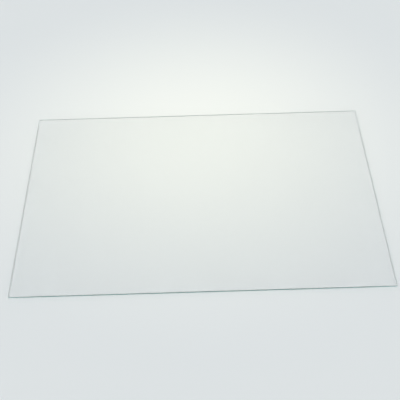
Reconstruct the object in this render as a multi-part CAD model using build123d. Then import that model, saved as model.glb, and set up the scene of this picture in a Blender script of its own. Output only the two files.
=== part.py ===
from build123d import *
import os

# Crisper drawer cover: one flat pane of clear tempered glass, lying as it does over the drawers.
# Millimetres, +X along the width, +Y to the back, +Z up, origin at the middle of the underside.

# Driving dimensions of the sheet
PANE_WIDTH = 620.0
PANE_DEPTH = 394.0
GLASS_THICKNESS = 3.2

# Edgework: the corners are dubbed, and both rims are seamed at 45 degrees
CORNER_RADIUS = 1.5
ARRIS_LEG = 0.5


def cut_sheet():
    """Sheet as it is cut and dubbed, with square edges."""
    plan = RectangleRounded(PANE_WIDTH, PANE_DEPTH, CORNER_RADIUS)
    return extrude(plan, amount=GLASS_THICKNESS)


def glass_pane():
    """Finished pane: a flat ground edge between two arrises that run round all four corners."""
    sheet = cut_sheet()
    upper_rim = sheet.faces().sort_by(Axis.Z)[-1].edges()
    lower_rim = sheet.faces().sort_by(Axis.Z)[0].edges()
    return chamfer(upper_rim + lower_rim, length=ARRIS_LEG)


os.makedirs("parts", exist_ok=True)
export_step(glass_pane(), "parts/glass_pane.step")
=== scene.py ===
import math

import bmesh
import bpy
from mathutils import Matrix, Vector


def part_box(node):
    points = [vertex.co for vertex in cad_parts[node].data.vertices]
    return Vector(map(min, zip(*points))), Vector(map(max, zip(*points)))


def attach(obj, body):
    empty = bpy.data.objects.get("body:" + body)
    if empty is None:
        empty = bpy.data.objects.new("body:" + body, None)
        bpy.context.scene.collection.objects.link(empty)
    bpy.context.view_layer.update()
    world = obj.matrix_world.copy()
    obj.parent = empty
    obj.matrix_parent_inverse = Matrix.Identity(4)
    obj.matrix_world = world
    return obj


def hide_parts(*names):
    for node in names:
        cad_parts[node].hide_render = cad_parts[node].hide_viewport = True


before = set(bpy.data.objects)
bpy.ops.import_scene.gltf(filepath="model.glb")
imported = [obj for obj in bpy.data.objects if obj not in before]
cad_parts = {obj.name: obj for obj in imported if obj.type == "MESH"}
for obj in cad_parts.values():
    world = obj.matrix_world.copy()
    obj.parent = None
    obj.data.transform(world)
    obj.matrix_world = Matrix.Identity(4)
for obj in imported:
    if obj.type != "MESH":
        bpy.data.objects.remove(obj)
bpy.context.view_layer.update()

# Pane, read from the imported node, in metres
PANE = "glass_pane"
LOW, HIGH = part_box(PANE)
WIDTH, DEPTH, THICKNESS = HIGH - LOW
TOUCHING = 1e-6

# Mesh of the pane: its cells along the runs, its corner arcs, and the small rounding beside each arris
RUN_STEP = 0.010
CORNER_STEPS = 12
ROUNDING = 0.00015
ROUNDING_STEPS = 2
SHARP_ANGLE = 30.0

# Strip of the edge's section, counted from the underside, that is the ground wall
GROUND_STRIP = 2 * ROUNDING_STEPS + 1

# Wander of the seam, as a share of the arris, and its waves round the pane with their phases
SEAM_WANDER = 0.12
SEAM_WAVES = ((7, 0.0), (19, 1.3), (43, 2.1))

# Polished faces: clear, with faint smears
GLASS_IOR = 1.52
FACE_TINT = (0.984, 0.988, 0.988, 1.0)
SMEAR_SCALE = 14.0
SMEAR_DETAIL = 4.0
SMEAR_ROUGHNESS = 0.02

# Ground wall and seamed arris: a fine grain, and frost, the share that light soaks through
EDGE_TINT = (0.30, 0.88, 0.85, 1.0)
ARRIS_TINT = (0.90, 0.93, 0.92, 1.0)
EDGE_ROUGHNESS = 0.60
GRAIN_ROUGHNESS = 0.15
GRAIN_SCALE = 900.0
GRAIN_DETAIL = 3.0
GRAIN_STRENGTH = 0.15
GRAIN_DEPTH = 0.0001
FROST = 0.7
FROST_TINT = (0.95, 0.95, 0.95, 1.0)

# Places of the finishes in the pane's list of materials
POLISHED, GROUND, SEAMED = range(3)

# Camera, solved from the four corners of the pane in the photograph, its turn in degrees
SENSOR_WIDTH = 36.0
LENS = 57.95
CAMERA_PLACE = (-0.0016, -0.7062, 0.9027)
CAMERA_TURN = (37.592, 0.980, -1.398)

# Floor just clear of the pane, with an oval of painted light, a pool where its tone is brighter
FLOOR_GAP = 0.0003
FLOOR_SIZE = 40.0
# Painted light: the warm bright tone at the heart of the pool. The dim tone is the floor's own.
FLOOR_PAINTED_LIGHT = (0.945, 0.962, 0.90, 1.0)
FLOOR_DIM = (0.735, 0.765, 0.77, 1.0)
FLOOR_ROUGHNESS = 0.9
PAINTED_LIGHT_SPOT = (0.0, 0.15, 0.0)
PAINTED_LIGHT_REACH = (0.57, 0.48, 1.0)

# Studio: the floor's far tone at the horizon, dimmer walls above it, and panels of light.
# Azimuths run from +Y to +X and, like elevations, are in degrees. Half sizes are at a distance of 1.
HORIZON = FLOOR_DIM
STUDIO_WALLS = (0.45, 0.46, 0.47, 1.0)
WALL_RISE = 0.7
LIGHTS = (
    {"azimuth": 180.0, "elevation": 62.0, "half_width": 0.60, "half_height": 0.50, "level": 1.90},
    {"azimuth": -48.0, "elevation": 33.0, "half_width": 0.28, "half_height": 0.22, "level": 0.50},
    {"azimuth": 114.0, "elevation": 24.0, "half_width": 0.22, "half_height": 0.20, "level": 0.60},
)
LIGHT_COLOUR = (1.0, 1.0, 1.0, 1.0)
LIGHT_SOFTNESS = 0.12
UP = (0.0, 0.0, 1.0)


class Wire:
    """One shader value. Arithmetic on it adds Math nodes to the finish that it belongs to."""

    def __init__(self, finish, socket):
        self.finish = finish
        self.socket = socket

    def math(self, operation, *values):
        return self.finish.add("ShaderNodeMath", {"operation": operation}, dict(enumerate(values)))

    def __add__(self, other):
        return self.math("ADD", self, other)

    def __radd__(self, other):
        return self.math("ADD", other, self)

    def __sub__(self, other):
        return self.math("SUBTRACT", self, other)

    def __rsub__(self, other):
        return self.math("SUBTRACT", other, self)

    def __mul__(self, other):
        return self.math("MULTIPLY", self, other)

    def __rmul__(self, other):
        return self.math("MULTIPLY", other, self)

    def __truediv__(self, other):
        return self.math("DIVIDE", self, other)

    def __rtruediv__(self, other):
        return self.math("DIVIDE", other, self)

    def __abs__(self):
        return self.math("ABSOLUTE", self)


class Finish:
    """Node tree of a material or of the world, with the one method that adds nodes to it."""

    def __init__(self, owner):
        owner.use_nodes = True
        self.tree = owner.node_tree
        self.tree.nodes.clear()

    def add(self, kind, settings=None, sockets=None, output=0):
        node = self.tree.nodes.new(kind)
        for name, value in (settings or {}).items():
            setattr(node, name, value)
        for name, value in (sockets or {}).items():
            if isinstance(value, Wire):
                self.tree.links.new(value.socket, node.inputs[name])
            else:
                node.inputs[name].default_value = value
        return Wire(self, node.outputs[output]) if node.outputs else node

    def blend(self, share, first, second):
        """Colour that goes from the first to the second with the share."""
        sockets = {0: share, 6: first, 7: second}
        return self.add("ShaderNodeMix", {"data_type": "RGBA"}, sockets, output=2)

    def along(self, vector, way):
        """How far a vector goes that way."""
        sockets = {0: vector, 1: way}
        return self.add("ShaderNodeVectorMath", {"operation": "DOT_PRODUCT"}, sockets, output="Value")

    def ease(self, value, low, high):
        """Smooth rise from 0 at low to 1 at high."""
        sockets = {"Value": value, "From Min": low, "From Max": high}
        return self.add("ShaderNodeMapRange", {"interpolation_type": "SMOOTHSTEP"}, sockets)


def new_material(name):
    material = bpy.data.materials.new(name)
    return material, Finish(material)


def polished_face():
    """Fire-polished float glass: clear, with the faintest unevenness in its gloss."""
    material, finish = new_material("polished_face")
    place = finish.add("ShaderNodeTexCoord", output="Object")
    smears = finish.add(
        "ShaderNodeTexNoise", None, {"Vector": place, "Scale": SMEAR_SCALE, "Detail": SMEAR_DETAIL}
    )
    glass = finish.add(
        "ShaderNodeBsdfPrincipled",
        None,
        {
            "Base Color": FACE_TINT,
            "Roughness": SMEAR_ROUGHNESS * smears,
            "IOR": GLASS_IOR,
            "Transmission Weight": 1.0,
        },
    )
    finish.add("ShaderNodeOutputMaterial", None, {"Surface": glass})
    return material


def frosted(name, tint):
    """Glass ground with a fine wheel: satin of that tint, which light soaks through."""
    material, finish = new_material(name)
    place = finish.add("ShaderNodeTexCoord", output="Object")
    grain = finish.add(
        "ShaderNodeTexNoise", None, {"Vector": place, "Scale": GRAIN_SCALE, "Detail": GRAIN_DETAIL}
    )
    bump = finish.add(
        "ShaderNodeBump", None, {"Strength": GRAIN_STRENGTH, "Distance": GRAIN_DEPTH, "Height": grain}
    )
    satin = finish.add(
        "ShaderNodeBsdfPrincipled",
        None,
        {
            "Base Color": tint,
            "Roughness": EDGE_ROUGHNESS + GRAIN_ROUGHNESS * grain,
            "IOR": GLASS_IOR,
            "Normal": bump,
        },
    )
    glow = finish.add("ShaderNodeBsdfTranslucent", None, {"Color": FROST_TINT, "Normal": bump})
    edge = finish.add("ShaderNodeMixShader", None, {0: FROST, 1: satin, 2: glow})
    finish.add("ShaderNodeOutputMaterial", None, {"Surface": edge})
    return material


def painted_light_floor():
    """Pale matt floor with a painted pool of light, its tone brightest behind the middle of the pane.
    """
    material, finish = new_material("pale_floor_painted_light")
    place = finish.add("ShaderNodeTexCoord", output="Object")
    away = finish.add("ShaderNodeVectorMath", {"operation": "SUBTRACT"}, {0: place, 1: PAINTED_LIGHT_SPOT})
    shrunk = finish.add("ShaderNodeVectorMath", {"operation": "DIVIDE"}, {0: away, 1: PAINTED_LIGHT_REACH})
    reach = finish.add("ShaderNodeVectorMath", {"operation": "LENGTH"}, {0: shrunk}, output="Value")
    # Painted pool of light: the tone fades from the bright painted light at the spot to the floor's own
    # dim tone
    tone = finish.blend(finish.ease(reach, 0.0, 1.0), FLOOR_PAINTED_LIGHT, FLOOR_DIM)
    matt = finish.add(
        "ShaderNodeBsdfPrincipled",
        None,
        {"Base Color": tone, "Roughness": FLOOR_ROUGHNESS, "Specular IOR Level": 0.0},
    )
    finish.add("ShaderNodeOutputMaterial", None, {"Surface": matt})
    return material


def edgework():
    """Leg of the arris and radius of the corners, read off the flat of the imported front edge."""
    front = [v.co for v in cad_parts[PANE].data.vertices if v.co.y - LOW.y < TOUCHING]
    leg = min(p.z for p in front) - LOW.z
    radius = HIGH.x - max(p.x for p in front)
    return leg, radius


ARRIS_LEG, CORNER_RADIUS = edgework()


def run_places(length):
    """Even places along a straight run of that length, about its middle, both ends included."""
    steps = round(length / RUN_STEP)
    return [length * (step / steps - 0.5) for step in range(steps + 1)]


RUN_X = run_places(WIDTH - 2 * CORNER_RADIUS)
RUN_Y = run_places(DEPTH - 2 * CORNER_RADIUS)


def outline_marks():
    """Marks round the pane's plan, anticlockwise from the right end of the front run.

    Each is an arc's centre or a place on a run set in by the corner radius, with its outward way.
    """
    right, back = RUN_X[-1], RUN_Y[-1]
    sides = [
        ((right, -back), -90, [(right, y) for y in RUN_Y[1:-1]]),
        ((right, back), 0, [(x, back) for x in RUN_X[-2:0:-1]]),
        ((-right, back), 90, [(-right, y) for y in RUN_Y[-2:0:-1]]),
        ((-right, -back), 180, [(x, -back) for x in RUN_X[1:-1]]),
    ]
    marks = []
    for corner, start, run in sides:
        for step in range(CORNER_STEPS + 1):
            angle = math.radians(start + 90 * step / CORNER_STEPS)
            outward = Vector((math.cos(angle), math.sin(angle), 0))
            marks.append((Vector((*corner, 0)), outward))
        marks += [(Vector((*place, 0)), outward) for place in run]
    return marks


def seam_leg(share):
    """Leg of the arris at a share of the way round: the seaming belt never runs quite even."""
    wander = sum(math.sin(2 * math.pi * waves * share + phase) for waves, phase in SEAM_WAVES)
    return ARRIS_LEG * (1 + SEAM_WANDER * wander / len(SEAM_WAVES))


def edge_section(leg):
    """Section of the edge from the underside up, with rounded turns, as pairs of inset and height."""
    middle = THICKNESS / 2
    turns = [
        ((2 * leg, 0.0), (leg, 0.0), (0.0, leg)),
        ((leg, 0.0), (0.0, leg), (0.0, middle)),
        ((0.0, middle), (0.0, THICKNESS - leg), (leg, THICKNESS)),
        ((0.0, THICKNESS - leg), (leg, THICKNESS), (2 * leg, THICKNESS)),
    ]
    points = []
    for turn in turns:
        before, corner, after = (Vector(point) for point in turn)
        start = corner + (before - corner).normalized() * ROUNDING
        end = corner + (after - corner).normalized() * ROUNDING
        for step in range(ROUNDING_STEPS + 1):
            t = step / ROUNDING_STEPS
            points.append(start * (1 - t) ** 2 + corner * 2 * t * (1 - t) + end * t ** 2)
    return points


def edge_rings(mesh):
    """Section of the edge at every mark round the plan, joined into the ground wall and the arrises."""
    marks = outline_marks()
    rings = []
    for number, (centre, outward) in enumerate(marks):
        section = edge_section(seam_leg(number / len(marks)))
        places = [centre + outward * (CORNER_RADIUS - s.x) + Vector((0, 0, s.y)) for s in section]
        rings.append([mesh.verts.new(place) for place in places])
    for here, there in zip(rings, rings[1:] + rings[:1]):
        for strip in range(len(here) - 1):
            face = mesh.faces.new((here[strip], there[strip], there[strip + 1], here[strip + 1]))
            face.material_index = GROUND if strip == GROUND_STRIP else SEAMED
            face.smooth = True
    return rings


def polished_grid(mesh, rim, height, facing_down):
    """One face of the pane: a grid that meets the rim at its run points, with a cell at each corner."""
    inner = {
        (i, j): mesh.verts.new((x, y, height))
        for i, x in enumerate(RUN_X)
        for j, y in enumerate(RUN_Y)
    }
    last_i, last_j = len(RUN_X) - 1, len(RUN_Y) - 1
    cells = [
        [inner[i, j], inner[i + 1, j], inner[i + 1, j + 1], inner[i, j + 1]]
        for i in range(last_i)
        for j in range(last_j)
    ]
    sides = [
        [(last_i, j) for j in range(last_j + 1)],
        [(i, last_j) for i in range(last_i, -1, -1)],
        [(0, j) for j in range(last_j, -1, -1)],
        [(i, 0) for i in range(last_i + 1)],
    ]
    start = 0
    for side in sides:
        arc = rim[start:start + CORNER_STEPS + 1]
        cells.append([inner[side[0]]] + arc)
        run = (rim + rim[:1])[start + CORNER_STEPS:start + CORNER_STEPS + len(side)]
        for step in range(len(side) - 1):
            cells.append([inner[side[step]], run[step], run[step + 1], inner[side[step + 1]]])
        start += CORNER_STEPS + len(side) - 1
    for cell in cells:
        face = mesh.faces.new(cell[::-1] if facing_down else cell)
        face.material_index = POLISHED


def glass_pane():
    """The pane, one closed mesh: the ground and seamed edge, and a polished face above and below."""
    mesh = bmesh.new()
    rings = edge_rings(mesh)
    polished_grid(mesh, [ring[-1] for ring in rings], THICKNESS, False)
    polished_grid(mesh, [ring[0] for ring in rings], 0.0, True)
    data = bpy.data.meshes.new("pane_of_glass")
    mesh.to_mesh(data)
    mesh.free()
    data.set_sharp_from_angle(angle=math.radians(SHARP_ANGLE))
    data.materials.append(polished_face())
    data.materials.append(frosted("ground_edge", EDGE_TINT))
    data.materials.append(frosted("seamed_arris", ARRIS_TINT))
    pane = bpy.data.objects.new("pane_of_glass", data)
    bpy.context.scene.collection.objects.link(pane)
    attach(pane, "root")
    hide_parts(PANE)


def stage():
    bpy.ops.mesh.primitive_plane_add(size=FLOOR_SIZE, location=(0, 0, LOW.z - FLOOR_GAP))
    floor = bpy.context.object
    floor.name = "floor"
    floor.data.materials.append(painted_light_floor())


def soft_light(finish, way, azimuth, elevation, half_width, half_height, level):
    """Level of a soft-edged panel of light, seen that way."""
    turn, rise = math.radians(azimuth), math.radians(elevation)
    facing = Vector((math.sin(turn) * math.cos(rise), math.cos(turn) * math.cos(rise), math.sin(rise)))
    across = Vector((math.cos(turn), -math.sin(turn), 0.0))
    ahead = finish.along(way, facing)
    share = finish.ease(ahead, 0.0, LIGHT_SOFTNESS)
    for side, half in ((across, half_width), (across.cross(facing), half_height)):
        reach = abs(finish.along(way, side) / ahead)
        share = share * (1 - finish.ease(reach, half - LIGHT_SOFTNESS, half + LIGHT_SOFTNESS))
    return level * share


def light():
    """Studio: walls that dim upwards from the floor's tone at the horizon, and soft panels of light."""
    world = bpy.data.worlds.new("studio")
    finish = Finish(world)
    way = finish.add("ShaderNodeTexCoord", output="Generated")
    height = finish.along(way, UP)
    tone = finish.blend(finish.ease(height, 0.0, WALL_RISE), HORIZON, STUDIO_WALLS)
    walls = finish.add("ShaderNodeBackground", None, {"Color": tone})
    panels = [soft_light(finish, way, **panel) for panel in LIGHTS]
    level = sum(panels[1:], panels[0])
    lights = finish.add("ShaderNodeBackground", None, {"Color": LIGHT_COLOUR, "Strength": level})
    studio = finish.add("ShaderNodeAddShader", None, {0: walls, 1: lights})
    finish.add("ShaderNodeOutputWorld", None, {"Surface": studio})
    bpy.context.scene.world = world


def camera():
    data = bpy.data.cameras.new("camera")
    data.sensor_width = SENSOR_WIDTH
    data.lens = LENS
    eye = bpy.data.objects.new("camera", data)
    eye.location = CAMERA_PLACE
    eye.rotation_euler = [math.radians(angle) for angle in CAMERA_TURN]
    bpy.context.scene.collection.objects.link(eye)
    bpy.context.scene.camera = eye


glass_pane()
stage()
light()
camera()
bpy.context.scene.view_settings.view_transform = "Standard"

# A blur of glossy bounces would dim the floor that is seen through the pane
bpy.context.scene.cycles.blur_glossy = 0.0
